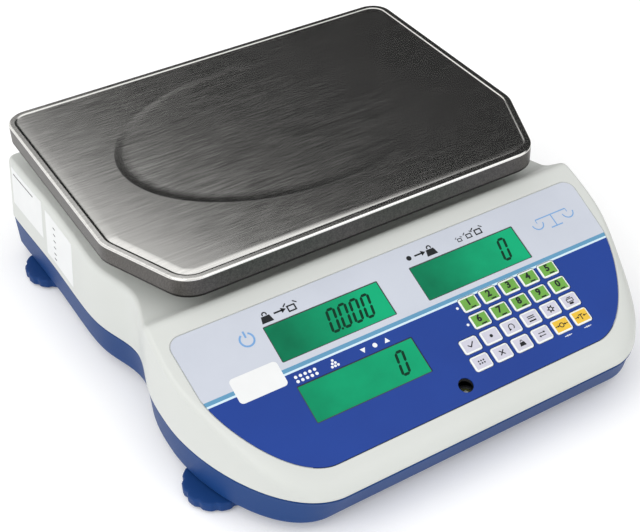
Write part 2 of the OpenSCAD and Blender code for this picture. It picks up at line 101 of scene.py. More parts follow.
KEY_ROWS = [
    ["1", "2", "3", "4", "5"],
    ["6", "7", "8", "9", "0"],
    ["check", "point", "recall", "total", "setup", "print"],
    ["sample", "clear", "piece_weight", "units", "zero", "tare"],
]
FEET = ["front_left", "front_right", "rear_left", "rear_right"]

PANEL = Matrix.Translation((0, PANEL_Y * MM, PANEL_Z * MM)) @ Matrix.Rotation(PANEL_TILT, 4, "X")


def box_mm(node):
    """Lowest and highest corner of a CAD node, in millimetres."""
    low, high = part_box(node)
    return low / MM, high / MM


def middle_mm(node):
    low, high = box_mm(node)
    return (low + high) / 2


PAN_Y = middle_mm("weighing_pan").y
PAN_Z = box_mm("weighing_pan")[1].z
LEVEL_Y = middle_mm("level_vial").y
LEVEL_SEAT_Z, LEVEL_TOP_Z = (corner.z for corner in box_mm("level_vial"))

# ---- Curves and outlines ----


def ease(t):
    """Rises smoothly from 0 to 1 as t does."""
    u = np.clip(t, 0, 1)
    return u * u * (3 - 2 * u)


def soft_min(a, b, k):
    """The lower of a and b, blended over a height k."""
    return np.minimum(a, b) - np.maximum(k - np.abs(a - b), 0) ** 2 / (4 * k)


def soft_max(a, b, k):
    return -soft_min(-a, -b, k)


def bezier(p, count):
    t = np.linspace(0, 1, count)[:, None]
    p = np.array(p, float)
    return (1 - t) ** 3 * p[0] + 3 * t * (1 - t) ** 2 * p[1] + 3 * t * t * (1 - t) * p[2] + t**3 * p[3]


def polar(r, angle):
    """The point at a radius and an angle in degrees."""
    return r * math.cos(math.radians(angle)), r * math.sin(math.radians(angle))


def arc(centre, r, start, end, count):
    """Points on a circle, from one angle to another, in degrees."""
    a = np.radians(np.linspace(start, end, count))
    return np.stack([centre[0] + r * np.cos(a), centre[1] + r * np.sin(a)], 1)


def oval(half_w, half_d, count):
    a = np.arange(count) / count * 2 * math.pi
    return np.stack([half_w * np.cos(a), half_d * np.sin(a)], 1)


def bar(x, y, w, h, turn=0):
    """A rectangle about (x, y), turned by an angle in degrees."""
    c, s = polar(1, turn)
    corners = np.array([(w, h), (-w, h), (-w, -h), (w, -h)]) / 2
    return corners @ np.array([[c, s], [-s, c]]) + [x, y]


def corner_arc(a, v, b, r, count):
    """The arc of radius r that rounds corner v between its neighbours a and b."""
    a, v, b = (np.array(p, float) for p in (a, v, b))
    u = (a - v) / np.linalg.norm(a - v)
    w = (b - v) / np.linalg.norm(b - v)
    half = math.acos(np.clip(u @ w, -1, 1)) / 2
    bisector = (u + w) / np.linalg.norm(u + w)
    centre = v + bisector * r / math.sin(half)
    start, end = v + u * r / math.tan(half) - centre, v + w * r / math.tan(half) - centre
    first = math.degrees(math.atan2(start[1], start[0]))
    turn = (math.degrees(math.atan2(end[1], end[0])) - first + 540) % 360 - 180
    return arc(centre, r, first, first + turn, count)


def rounded(points, radii, count):
    n = len(points)
    return np.concatenate(
        [corner_arc(points[i - 1], points[i], points[(i + 1) % n], radii[i], count) for i in range(n)]
    )


def round_rect(w, h, r, count=6):
    corners = [(w / 2, h / 2), (-w / 2, h / 2), (-w / 2, -h / 2), (w / 2, -h / 2)]
    return rounded(corners, [r] * 4, count)


def mirrored(right):
    """A right half outline and its mirror image, as one closed outline."""
    return np.concatenate([right, right[::-1] * [-1, 1]])


def outward(points):
    """Outward normal at each point of a closed outline that runs anticlockwise."""
    along = np.roll(points, -1, 0) - np.roll(points, 1, 0)
    along /= np.linalg.norm(along, axis=1)[:, None]
    return np.stack([along[:, 1], -along[:, 0]], 1)


def area(points):
    x, y = points[:, 0], points[:, 1]
    return (x @ np.roll(y, -1) - y @ np.roll(x, -1)) / 2


def inset(points, depth):
    """A closed outline moved in by depth."""
    side = 1 if area(points) > 0 else -1
    return points - outward(points) * depth * side


# ---- The housing's shape ----


def panel_height(y):
    return PANEL_Z + math.tan(PANEL_TILT) * (y - PANEL_Y)


def top_height(y):
    """Height of the housing's top at depth y: panel, ridge, then deck."""
    ridge_back = PANEL_Z + 4.9 - 0.7 * (y - PANEL_Y - 11.5)
    return soft_min(panel_height(y), soft_max(ridge_back, DECK_Z, 3), 3)


def side_half(y):
    """Half width of the housing at its join, at depth y."""
    pinch = WAIST_DEPTH * np.exp(-(((y - WAIST_Y) / WAIST_SPREAD) ** 2))
    return BODY_HALF_W - pinch + 2.5 * ease((y - 90) / 85)


def housing_outline():
    """Right half of the join's outline, from the rear wall to the nose, and its outward normals."""
    arc_y = BODY_HALF_D - REAR_CORNER_R
    arc_x = side_half(arc_y) - REAR_CORNER_R
    y = np.linspace(arc_y - 2.5, CORNER_START_Y + 2.5, 93)
    start = side_half(CORNER_START_Y)
    nose = [(start, CORNER_START_Y), (start, -118), (130, -BODY_HALF_D), (NOSE_HALF_W, -BODY_HALF_D)]
    right = np.concatenate([
        [(0.5 * arc_x, BODY_HALF_D)],
        arc((arc_x, arc_y), REAR_CORNER_R, 90, 0, 13),
        np.stack([side_half(y), y], 1),
        bezier(nose, 49),
        [(0.5 * NOSE_HALF_W, -BODY_HALF_D)],
    ])
    along = np.gradient(right, axis=0)
    along /= np.linalg.norm(along, axis=1)[:, None]
    normals = np.stack([-along[:, 1], along[:, 0]], 1)
    normals[:2] = (0, 1)
    normals[-2:] = (0, -1)
    return right, normals


OUTLINE, NORMALS = housing_outline()
NOSE = ease((-84 - OUTLINE[:, 1]) / 85)
EDGE_IN = 3.2 + 6.3 * NOSE
EDGE_DROP = np.minimum(3.8 + 2.2 * NOSE, 0.93 * (top_height(OUTLINE[:, 1]) - JOIN_Z))
DRAFT = 1.5 * (1 - NOSE) + 0.3 * NOSE + 9 * NOSE * (1 - NOSE) + 3 * ease((OUTLINE[:, 1] - 6) / 60)
LEAN = 0.6 + 9.5 * np.maximum(0, -NORMALS[:, 1]) ** 3 + 1.5 * np.maximum(0, NORMALS[:, 1])


def ring(depth, height):
    """A full ring of points, depth in from the join's outline and at a height."""
    right = OUTLINE - NORMALS * np.broadcast_to(depth, len(OUTLINE))[:, None]
    half = np.column_stack([right, np.broadcast_to(height, len(OUTLINE))])
    return np.concatenate([half, half[::-1] * [-1, 1, 1]])


def roof_ring(angle, depth=0, extra=0, lift=0.05):
    """A ring on the rounding between the side walls, at angle 0, and the roof, at 90 degrees."""
    a = math.radians(angle)
    moved = DRAFT + EDGE_IN * (1 - math.cos(a)) + depth + extra
    height = top_height(OUTLINE[:, 1] - NORMALS[:, 1] * moved) - EDGE_DROP * (1 - math.sin(a))
    if depth:
        height -= WALL / math.cos(PANEL_TILT)
    return ring(moved, np.maximum(height, JOIN_Z + lift))


def base_ring(part, extra, z):
    return ring(0.4 + LEAN * part + extra, z)


# ---- Meshes ----


def linked(name, data):
    """A new object, in the scene."""
    obj = bpy.data.objects.new(name, data)
    bpy.context.scene.collection.objects.link(obj)
    return obj


def new_object(name, points, faces, place=None):
    """An object from points in millimetres, carried by place into the object's frame."""
    mesh = bpy.data.meshes.new(name)
    mesh.from_pydata([Vector(p) * MM for p in points], [], faces)
    mesh.validate()
    if place is not None:
        mesh.transform(place)
    bm = bmesh.new()
    bm.from_mesh(mesh)
    bmesh.ops.recalc_face_normals(bm, faces=bm.faces)
    bm.to_mesh(mesh)
    bm.free()
    return linked(name, mesh)


def loft(rings, strips=False):
    """Points and faces of a skin through rings, closed at each end by a face or by mirror-wise strips."""
    count = len(rings[0])
    points = np.concatenate(rings)
    faces = []
    for j in range(len(rings) - 1):
        a, b = j * count, (j + 1) * count
        faces += [(a + k, a + (k + 1) % count, b + (k + 1) % count, b + k) for k in range(count)]
    for start in (0, (len(rings) - 1) * count):
        if strips:
            for i in range(count // 2 - 1):
                faces.append((start + i, start + i + 1, start + count - 2 - i, start + count - 1 - i))
        else:
            faces.append(tuple(range(start, start + count)))
    return points, faces


def at_height(points, z):
    return np.column_stack([points, np.full(len(points), z)])


def stack(levels):
    """Closed skin through (outline, height) pairs."""
    return loft([at_height(outline, z) for outline, z in levels])


def prism(outline, low, high):
    return stack([(outline, low), (outline, high)])


def prisms(outlines, low, high):
    return joined([prism(outline, low, high) for outline in outlines])


def joined(parts):
    """Several (points, faces) as one."""
    points, faces = [], []
    for part_points, part_faces in parts:
        faces += [tuple(i + len(points) for i in face) for face in part_faces]
        points += [tuple(p) for p in part_points]
    return points, faces


def moved(part, x=0, y=0, z=0):
    points, faces = part
    return [(p[0] + x, p[1] + y, p[2] + z) for p in points], faces


def block(low, high):
    (x0, y0, z0), (x1, y1, z1) = low, high
    return prism(np.array([(x0, y0), (x1, y0), (x1, y1), (x0, y1)], float), z0, z1)


def rod(x, y, r, low, high, count=32):
    return prism(oval(r, r, count) + [x, y], low, high)


def turned(profile, count=48):
    """Closed skin of a profile of (radius, height) points turned round the Z axis."""
    return stack([(oval(r, r, count), z) for r, z in profile])


def bake(obj):
    """Applies the object's modifiers."""
    graph = bpy.context.evaluated_depsgraph_get()
    obj.data = bpy.data.meshes.new_from_object(obj.evaluated_get(graph))
    obj.modifiers.clear()


def cut(obj, cutter):
    """Takes the cutter, and every loose part of it, out of the object."""
    modifier = obj.modifiers.new("cut", "BOOLEAN")
    modifier.object = cutter
    modifier.solver = "EXACT"
    bake(obj)
    bpy.data.objects.remove(cutter)


def bevel(obj, angle):
    """Rounds the object's edges that are sharper than an angle, by 0.6 mm."""
    modifier = obj.modifiers.new("bevel", "BEVEL")
    modifier.width = 0.6 * MM
    modifier.segments = 2
    modifier.limit_method = "ANGLE"
    modifier.angle_limit = math.radians(angle)


def recolour(obj, choose):
    """Sets each face's material from its number and its middle, in the panel's frame, in millimetres."""
    to_panel = PANEL.inverted()
    for face in obj.data.polygons:
        face.material_index = choose(face.index, to_panel @ face.center / MM)


def finish_piece(obj, body, materials, stands_for=(), sharp=35):
    """Shades a piece, gives it its materials and says what it rides on and stands for."""
    obj.data.shade_smooth()
    obj.data.set_sharp_from_angle(angle=math.radians(sharp))
    modifier = obj.modifiers.new("weighted", "WEIGHTED_NORMAL")
    modifier.keep_sharp = True
    for part in materials:
        obj.data.materials.append(part)
    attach(obj, body)
    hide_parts(*stands_for)


# ---- Materials ----


def add(tree, kind, **values):
    """A new node with its properties and its inputs set, given by name."""
    node = tree.nodes.new("ShaderNode" + kind)
    for key, value in values.items():
        if hasattr(node, key):
            setattr(node, key, value)
        else:
            node.inputs[key.replace("_", " ").title()].default_value = value
    return node


def mix_colours(tree, share, first, second):
    """A colour that goes from first to second with share."""
    mix = add(tree, "Mix", data_type="RGBA")
    tree.links.new(share, mix.inputs["Factor"])
    mix.inputs[6].default_value = (*first, 1)
    mix.inputs[7].default_value = (*second, 1)
    return mix.outputs[2]


def to_range(tree, value, low, high, first, last):
    """Value from first...last, limited to that, as low...high."""
    node = add(tree, "MapRange", clamp=True)
    tree.links.new(value, node.inputs["Value"])
    for name, number in (("From Min", first), ("From Max", last), ("To Min", low), ("To Max", high)):
        node.inputs[name].default_value = number
    return node.outputs["Result"]


def object_place(tree, stretch=(1, 1, 1)):
    """The point in the object's frame, in metres, stretched."""
    mapping = add(tree, "Mapping")
    mapping.inputs["Scale"].default_value = stretch
    tree.links.new(add(tree, "TexCoord").outputs["Object"], mapping.inputs["Vector"])
    return mapping.outputs["Vector"]


def noise(tree, place, scale, detail=4.0):
    node = add(tree, "TexNoise")
    node.inputs["Scale"].default_value = scale
    node.inputs["Detail"].default_value = detail
    tree.links.new(place, node.inputs["Vector"])
    return node.outputs["Fac"]


def principled(name, sockets):
    """A new material, its node tree, and its shader with some inputs set, given by name."""
    made = bpy.data.materials.new(name)
    made.use_nodes = True
    shader = made.node_tree.nodes["Principled BSDF"]
    for socket, value in sockets.items():
        shader.inputs[socket.replace("_", " ")].default_value = value
    return made, made.node_tree, shader


def material(
    name, colour, second, roughness, spread=0.05, *, mottle=25, grain=1500, depth=0.02, stretch=(1, 1, 1),
    **sockets,
):
    """A material whose colour drifts between two tones, over 1 / mottle metres.

    Its grain, in grains to the metre, gives the bump, depth millimetres deep, and the spread of roughness.
    """
    made, tree, shader = principled(name, sockets)
    place = object_place(tree, stretch)
    blotches = to_range(tree, noise(tree, place, mottle), 0, 1, 0.3, 0.7)
    fine = noise(tree, place, grain, 3.0)
    tree.links.new(mix_colours(tree, blotches, colour, second), shader.inputs["Base Color"])
    rough = to_range(tree, fine, roughness - spread, roughness + spread, 0.3, 0.7)
    tree.links.new(rough, shader.inputs["Roughness"])
    bump = add(tree, "Bump")
    bump.inputs["Distance"].default_value = depth * MM
    tree.links.new(fine, bump.inputs["Height"])
    tree.links.new(bump.outputs["Normal"], shader.inputs["Normal"])
    return made


def brushed_steel():
    """Stainless sheet, brushed from side to side."""
    made = material(
        "brushed_steel", (0.80, 0.79, 0.76), (0.69, 0.68, 0.655), 0.15, 0.05,
        mottle=520, grain=3000, depth=0.004, stretch=(0.016, 1, 1), Metallic=1.0, Anisotropic=0.8,
    )
    tree = made.node_tree
    along = add(tree, "VectorTransform", vector_type="VECTOR", convert_from="OBJECT", convert_to="WORLD")
    along.inputs["Vector"].default_value = (0, 1, 0)
    tree.links.new(along.outputs["Vector"], tree.nodes["Principled BSDF"].inputs["Tangent"])
    return made


def display_green(name, dim, lit_end):
    """A backlit panel under a glossy window, with painted light: its colour and its weak glow grow brighter
    towards its right end.
    """
    made, tree, shader = principled(name, dict(
        Emission_Strength=0.3, Roughness=0.35, Coat_Weight=0.06, Coat_Roughness=0.08, Specular_IOR_Level=0.06
    ))
    across = add(tree, "SeparateXYZ")
    tree.links.new(add(tree, "TexCoord").outputs["Generated"], across.inputs["Vector"])
    # Painted light: the share that brightens the colour from left to right.
    painted_light_share = to_range(tree, across.outputs["X"], dim, lit_end, 0.1, 1.0)
    blotches = to_range(tree, noise(tree, object_place(tree), 45), 0, 0.25, 0.3, 0.7)
    share = add(tree, "Math", operation="ADD", use_clamp=True)
    tree.links.new(painted_light_share, share.inputs[0])
    tree.links.new(blotches, share.inputs[1])
    lit = mix_colours(tree, share.outputs[0], (0.001, 0.105, 0.048), (0.004, 0.30, 0.135))
    tree.links.new(lit, shader.inputs["Base Color"])
    tree.links.new(lit, shader.inputs["Emission Color"])
    return made


def film(name, *tones, roughness=0.38, mottle=30, **sockets):
    return material("film_" + name, *tones, roughness, mottle=mottle, grain=4000, depth=0.01, **sockets)


def key_print(name, *tones):
    return material("key_" + name, *tones, 0.34, mottle=120, grain=4000, depth=0.008)


def ink(name, *tones, **sockets):
    return material("ink_" + name, *tones, 0.4, mottle=200, grain=5000, depth=0.004, **sockets)


def turned_metal(name, *tones, roughness):
    return material(name, *tones, roughness, 0.08, mottle=150, grain=2200, depth=0.01, Metallic=1.0)


WHITE_PLASTIC = material(
    "white_plastic", (0.595, 0.612, 0.585), (0.572, 0.588, 0.562), 0.42, mottle=9, grain=2600,
)
BLUE_PLASTIC = material(
    "blue_plastic", (0.010, 0.050, 0.19), (0.009, 0.044, 0.168), 0.42,
    mottle=14, grain=2600, depth=0.01, Specular_IOR_Level=0.12,
)
STEEL = brushed_steel()
SKIRT = material(
    "skirt_steel", (0.138, 0.129, 0.122), (0.077, 0.073, 0.069), 0.40, 0.1,
    mottle=1100, grain=1600, depth=0.05, Metallic=1.0,
)
# Painted shade: near-black steel on the skirt's lower chamfer stands for the dark line of shade under the
# pan's edge.
HEM_SHADE = material(
    "skirt_hem_painted_shade", (0.020, 0.019, 0.018), (0.030, 0.028, 0.027), 0.5, 0.08,
    mottle=300, grain=2200, depth=0.01, Metallic=1.0,
)
FILMS = [
    film("lilac", (0.53, 0.56, 0.63), (0.50, 0.53, 0.60)),
    film("cyan", (0.088, 0.275, 0.45), (0.082, 0.26, 0.42)),
    film("white", (0.60, 0.74, 0.82), (0.57, 0.71, 0.79)),
    film(
        "blue", (0.005, 0.042, 0.27), (0.004, 0.036, 0.24),
        roughness=0.42, mottle=18, Specular_IOR_Level=0.25,
    ),
]
KEY_FACES = {
    "green": key_print("green", (0.13, 0.36, 0.035), (0.105, 0.31, 0.03)),
    "white": key_print("white", (0.56, 0.55, 0.64), (0.52, 0.52, 0.60)),
    "yellow": key_print("yellow", (0.78, 0.50, 0.02), (0.72, 0.45, 0.02)),
}
KEY_EDGE = key_print("edge", (0.80, 0.82, 0.80), (0.76, 0.78, 0.76))
INSIDE = material(
    "pan_inside", (0.86, 0.86, 0.84), (0.80, 0.80, 0.78), 0.6, 0.08,
    mottle=60, grain=2200, depth=0.01, Metallic=0.2,
)
INK_DARK = ink("dark", (0.010, 0.012, 0.014), (0.016, 0.018, 0.020), Specular_IOR_Level=0.15)
INK_PALE = ink("pale", (0.80, 0.82, 0.84), (0.76, 0.78, 0.80))
INK_BLUE = ink("blue", (0.16, 0.34, 0.62), (0.14, 0.31, 0.58))
LABEL = material(
    "label_paper", (0.76, 0.77, 0.77), (0.73, 0.74, 0.74), 0.5, mottle=60, grain=3000, depth=0.01,
)
# Display greens with painted light, brighter to the right; the count display's is more even.
LCD = display_green("display_green", 0.0, 0.95)
LCD_EVEN = display_green("display_green_even", 0.35, 0.75)
SEGMENT = material(
    "lcd_segment", (0.002, 0.030, 0.014), (0.003, 0.036, 0.018), 0.3,
    mottle=300, grain=6000, Specular_IOR_Level=0.08,
)
BLACK_PLASTIC_AND_SHADE = material(
    "black_plastic", (0.018, 0.018, 0.020), (0.024, 0.024, 0.026), 0.42, mottle=90, grain=2500,
)
RUBBER = material(
    "rubber", (0.030, 0.030, 0.031), (0.040, 0.040, 0.041), 0.75, mottle=80, grain=1800, depth=0.05,
)
CAST = material(
    "cast_aluminium", (0.46, 0.47, 0.48), (0.38, 0.39, 0.40), 0.50, 0.1,
    mottle=60, grain=900, depth=0.06, Metallic=0.9,
)
MACHINED = material(
    "machined_aluminium", (0.66, 0.67, 0.68), (0.60, 0.61, 0.62), 0.30, 0.06,
    mottle=90, grain=2400, depth=0.01, stretch=(1, 0.05, 1), Metallic=1.0,
)
ZINC = turned_metal("zinc_steel", (0.58, 0.58, 0.57), (0.50, 0.50, 0.48), roughness=0.33)
BRASS = turned_metal("brass", (0.62, 0.44, 0.16), (0.54, 0.37, 0.12), roughness=0.30)
BOARD = material("circuit_board", (0.012, 0.11, 0.035), (0.020, 0.16, 0.055), 0.38, mottle=500, depth=0.03)
BATTERY = material("battery_case", (0.040, 0.042, 0.048), (0.055, 0.057, 0.062), 0.5, mottle=40, depth=0.04)
CABLE = material("cable_jacket", (0.05, 0.05, 0.055), (0.07, 0.07, 0.075), 0.5, mottle=90, grain=1600)
RIBBON = material(
    "ribbon_grey", (0.36, 0.37, 0.39), (0.28, 0.29, 0.31), 0.5,
    mottle=780, grain=780, depth=0.1, stretch=(1, 0.02, 0.02),
)
ROCKER = material(
    "rocker_red", (0.34, 0.012, 0.012), (0.40, 0.018, 0.015), 0.3, mottle=120, grain=2500, depth=0.01,
)
LIQUID = material(
    "vial_liquid", (0.16, 0.17, 0.05), (0.19, 0.20, 0.06), 0.06,
    mottle=60, grain=200, depth=0.002, Transmission_Weight=0.5, IOR=1.36,
)
ACRYLIC = material(
    "vial_acrylic", (0.86, 0.90, 0.86), (0.82, 0.87, 0.82), 0.08,
    mottle=60, grain=1200, depth=0.003, Transmission_Weight=0.6, IOR=1.49,
)
FLOOR = material(
    "floor", (0.94, 0.94, 0.94), (0.92, 0.92, 0.92), 0.9,
    mottle=2, grain=600, Emission_Color=(1, 1, 1, 1), Emission_Strength=0.12,
)

# ---- Housing ----


def film_outline():
    """The panel film's outline, with Y up the slope."""
    side = [(FILM_HALF_W - 1.2, -40), (FILM_HALF_W - 2.5, -58), (120, -FILM_LEN), (92, -FILM_LEN)]
    right = np.concatenate([
        corner_arc((0, 0), (FILM_HALF_W, 0), (FILM_HALF_W, -30), 8, 10),
        bezier(side, 41),
    ])
    return mirrored(right)[::-1]


def key_places():
    """Each key's name and the middle of its face on the panel."""
    for row, names in enumerate(KEY_ROWS):
        first = len(KEY_ROWS[-1]) - len(names)
        for column, name in enumerate(names, first):
            yield name, KEY_X0 + column * KEY_PITCH_X, -KEY_S0 - row * KEY_PITCH_S


def panel_cutter():
    """The film's seat, with a chamfered lip, and the openings under it."""
    outline = film_outline()
    lip = inset(outline, -0.45)
    seat = stack([(outline, FILM_BOTTOM), (outline, -0.35), (lip, 0.1), (lip, 8)])
    low, high = -8, FILM_BOTTOM + 0.1
    windows = [prism(bar(x, -s, LCD_W + 0.8, LCD_H + 0.8), low, high) for x, s in LCD_PLACES.values()]
    last_row = -KEY_S0 - (len(KEY_ROWS) - 0.5) * KEY_PITCH_S
    keypad = block((KEY_X0 - 9, last_row, low), (KEY_X0 + 5 * KEY_PITCH_X + 9, -KEY_S0 + 7, high))
    return [seat], [*windows, keypad]


def white_shell():
    """The upper housing. Where the level shows through it, the hole's wall is black, which is painted shade
    in the hole.
    """
    outer = [ring(0.6, JOIN_Z), ring(0.15, JOIN_Z + 0.15), ring(0, JOIN_Z + 0.6)]
    outer += [roof_ring(a, lift=0.7 + 0.004 * a) for a in np.linspace(0, 90, 13)]
    outer += [roof_ring(90, extra=1.5, lift=1.2)]
    inner = [ring(WALL, JOIN_Z)] + [roof_ring(a, WALL, lift=0.1 + 0.004 * a) for a in (0, 30, 60, 90)]
    shell = new_object("upper_shell", *loft(inner[::-1] + outer, strips=True))
    seat, openings = panel_cutter()
    for parts in (seat, openings):
        cut(shell, new_object("panel_cutter", *joined(parts), PANEL))
    (left, right), half_d = HUB_HOLE_X, HUB_HOLE_HALF_D
    level_hole = rod(0, LEVEL_Y, LEVEL_R, LEVEL_SEAT_Z, LEVEL_SEAT_Z + 30, 48)
    hub_hole = block((left, PAN_Y - half_d, DECK_Z - 10), (right, PAN_Y + half_d, DECK_Z + 10))
    cut(shell, new_object("hole_cutter", *joined([level_hole, hub_hole])))
    # Painted shade: the white wall round the level's hole is given the black material.
    for face in shell.data.polygons:
        x, y, _ = face.center / MM
        face.material_index = int(math.hypot(x, y - LEVEL_Y) < LEVEL_R + 0.15)
    colours = [WHITE_PLASTIC, BLACK_PLASTIC_AND_SHADE]
    finish_piece(shell, "base", colours, ["upper_housing"], sharp=30)


def blue_base():
    """The lower housing: a lap joint at its top, walls that lean in, and a rounded lower edge."""
    outer = [
        base_ring(0, 1.9, JOIN_Z), base_ring(0, 1.9, JOIN_Z - 0.9), base_ring(0, 0.35, JOIN_Z - 1.0),
        base_ring(0, 0, JOIN_Z - 1.5),
    ]
    outer += [base_ring(t * 0.9, 0, JOIN_Z + t * (BASE_Z + 2.5 - JOIN_Z)) for t in np.linspace(0.1, 1, 8)]
    for angle in np.linspace(15, 90, 6):
        c, s = polar(1, angle)
        outer.append(base_ring(0.9 + 0.1 * s, 2.4 * (1 - c), BASE_Z + 2.5 * (1 - s)))
    outer.append(base_ring(1, 4, BASE_Z))
    inner = [base_ring(1, WALL + 2, BASE_Z + 3), base_ring(0.86, WALL, BASE_Z + 5)]
    shell = new_object("lower_shell", *loft([*inner, base_ring(0, WALL, JOIN_Z), *outer], strips=True))
    cut(shell, new_object("base_cutter", *joined(base_openings())))
    finish_piece(shell, "base", [BLUE_PLASTIC], ["lower_housing"], sharp=30)


def base_openings():
    """What is open in the base: feet, screws, battery bay, switch and the sockets in the rear wall."""
    parts = [rod(x, y, SCREW_HOLE_R, BASE_Z - 1, BASE_Z + 4.2) for x, y in SCREW_PLACES]
    for foot in FEET:
        middle = middle_mm("foot_stud_" + foot)
        parts.append(rod(middle.x, middle.y, STUD_R, BASE_Z - 1, JOIN_Z - 5))
    for node, gap in (("battery_cover", 0.3), ("power_switch", -0.9)):
        low, high = box_mm(node)
        parts.append(block((low.x - gap, low.y - gap, BASE_Z - 1), (high.x + gap, high.y + gap, BASE_Z + 7)))
    through_wall = (BODY_HALF_D - 12, BODY_HALF_D + 4)
    low, high = box_mm("serial_port")
    x = middle_mm("serial_port").x
    parts.append(block((x - 10, through_wall[0], low.z + 0.7), (x + 10, through_wall[1], high.z - 0.7)))
    inlet = middle_mm("power_inlet")
    hole = oval(6, 6, 40) + [inlet.x, inlet.z]
    parts.append(loft([np.insert(hole, 1, y, axis=1) for y in through_wall]))
    return parts


def panel_film():
    """The printed film: a lilac field, a cyan and a pale line, and a blue field."""
    outline = inset(film_outline(), 0.4)
    skin = stack([(outline, FILM_BOTTOM), (outline, FILM_TOP - 0.15), (inset(outline, 0.15), FILM_TOP)])
    sheet = new_object("panel_film", *skin)
    holes = [prism(round_rect(LCD_W, LCD_H, 0.8) + [x, -s], -3, 3) for x, s in LCD_PLACES.values()]
    holes += [prism(round_rect(KEY_W + 0.6, KEY_H + 0.6, 2) + [x, y], -3, 3) for _, x, y in key_places()]
    holes.append(rod(0, -LEVEL_S, LEVEL_R, -3, 3, 48))
    cut(sheet, new_object("film_cutter", *joined(holes)))
    bm = bmesh.new()
    bm.from_mesh(sheet.data)
    for s in BAND_STARTS:
        geometry = bm.verts[:] + bm.edges[:] + bm.faces[:]
        bmesh.ops.bisect_plane(bm, geom=geometry, plane_co=(0, -s * MM, 0), plane_no=(0, 1, 0))
    bm.to_mesh(sheet.data)
    bm.free()
    sheet.data.transform(PANEL)
    recolour(sheet, lambda _, p: sum(-p.y > s for s in BAND_STARTS))
    finish_piece(sheet, "base", FILMS, ["panel_overlay"])


# ---- Weighing pan ----

PAN_FLOOR_Z = PAN_Z - 0.3
PAN_UNDER_Z = PAN_Z - 2
HEM_Z = PAN_Z - PAN_SKIRT + 2.2
EDGE_R = 1.2
RIM_IN = 3.9
STEP_RUN = 1.5
PLAN_STEP = 2.5
# How far out from the oval's line, and how far below the pan's floor.
GROOVE_PROFILE = [
    (0.9, 0), (0.4, 0.02), (0, 0.06), (-1, 0.17), (-2, 0.28), (-3, 0.38), (-4, 0.46), (-5, 0.51), (-6, 0.54),
    (-8, 0.57), (-10, 0.58),
]


def pan_plan():
    """The pan's plan, with its front corners cut off, as evenly spaced points."""
    w, d = PAN_W / 2, PAN_D / 2
    right = [(w, d), (w, 60 - d), (w - 25, -d)]
    corners = right + [(-x, y) for x, y in right[::-1]]
    outline = rounded(corners, [15, 22, 20, 20, 22, 15], 24)
    steps = np.linalg.norm(np.roll(outline, -1, 0) - outline, axis=1)
    along = np.concatenate([[0], np.cumsum(steps)])
    closed = np.concatenate([outline, outline[:1]])
    at = np.linspace(0, along[-1], round(along[-1] / PLAN_STEP), endpoint=False)
    return np.stack([np.interp(at, along, closed[:, i]) for i in (0, 1)], 1)


def pan_profile():
    """(inset, height) pairs: down inside the skirt, up outside it, round the edge and over the flat rim."""
    skirt_z = PAN_Z - PAN_SKIRT
    pairs = [(PAN_GAUGE + 0.8, PAN_Z - 3.5), (PAN_GAUGE + 0.8, skirt_z + 0.2), (1.6, skirt_z), (1.2, skirt_z)]
    pairs += [(0.6, skirt_z + 0.3), (0, skirt_z + 1.0), (0, HEM_Z), (0, PAN_Z - EDGE_R)]
    for a in np.radians(np.linspace(10, 90, 9)):
        pairs.append((EDGE_R * (1 - math.cos(a)), PAN_Z - EDGE_R * (1 - math.sin(a))))
    return pairs + [(EDGE_R + 0.4, PAN_Z), (RIM_IN - 0.2, PAN_Z), (RIM_IN, PAN_Z)]


def weighing_pan():
    """The pressed sheet: rim, a step down to the floor, creased at the front and left, and the oval."""
    plan = pan_plan()
    rings = [at_height(inset(plan, depth), PAN_UNDER_Z) for depth in (8, 3)]
    rings += [at_height(inset(plan, depth), z) for depth, z in pan_profile()]
    side = outward(plan) * (1 if area(plan) > 0 else -1)
    crease = 0.36 * ease(0.5 - 0.84 * (side[:, 0] + side[:, 1])) * (0.15 + 0.85 * ease(-2 * side[:, 1]))
    run = 7.9 - 2.6 * ease(-2 * side[:, 1])
    for t in np.linspace(0.2, 1, 5):
        drop = (PAN_Z - PAN_FLOOR_Z + crease) * ease(t)
        rings.append(at_height(inset(plan, RIM_IN + STEP_RUN * t), PAN_Z) - np.outer(drop, (0, 0, 1)))
    for t in np.linspace(0.12, 1, 8):
        line = inset(plan, (RIM_IN + STEP_RUN + run * t)[:, None])
        rings.append(at_height(line, PAN_FLOOR_Z) - np.outer(crease * (1 - t) ** 2, (0, 0, 1)))
    centre = np.array([0, GROOVE_BACK])
    around = plan - centre
    turn = np.arctan2(around[:, 1] / GROOVE_HALF_D, around[:, 0] / GROOVE_HALF_W)
    deep = np.maximum(0.05, 0.45 - 0.5 * np.cos(turn) - 0.2 * np.sin(turn))
    for out, drop in GROOVE_PROFILE:
        half_w, half_d = GROOVE_HALF_W + out, GROOVE_HALF_D + out
        line = centre + np.stack([half_w * np.cos(turn), half_d * np.sin(turn)], 1)
        rings.append(at_height(line, PAN_FLOOR_Z) - np.outer(drop * deep, (0, 0, 1)))
    pan = new_object("pan_sheet", *moved(loft(rings), 0, PAN_Y))
    steel, skirt, hem, under = range(4)
    for face in pan.data.polygons:
        z = face.center.z / MM
        # Faces below HEM_Z take the hem's near-black steel, which is painted shade.
        outside = steel if z > PAN_Z - EDGE_R - 0.01 else skirt if z > HEM_Z else hem
        is_under = face.index < 3 * len(plan) or len(face.vertices) > 4 and z < PAN_Z - EDGE_R
        face.material_index = under if is_under else outside
    finish_piece(pan, "pan", [STEEL, SKIRT, HEM_SHADE, INSIDE], ["weighing_pan"], sharp=60)


# ---- Printed marks ----


def disc(x, y, r):
    return oval(r, r, 24) + [x, y]


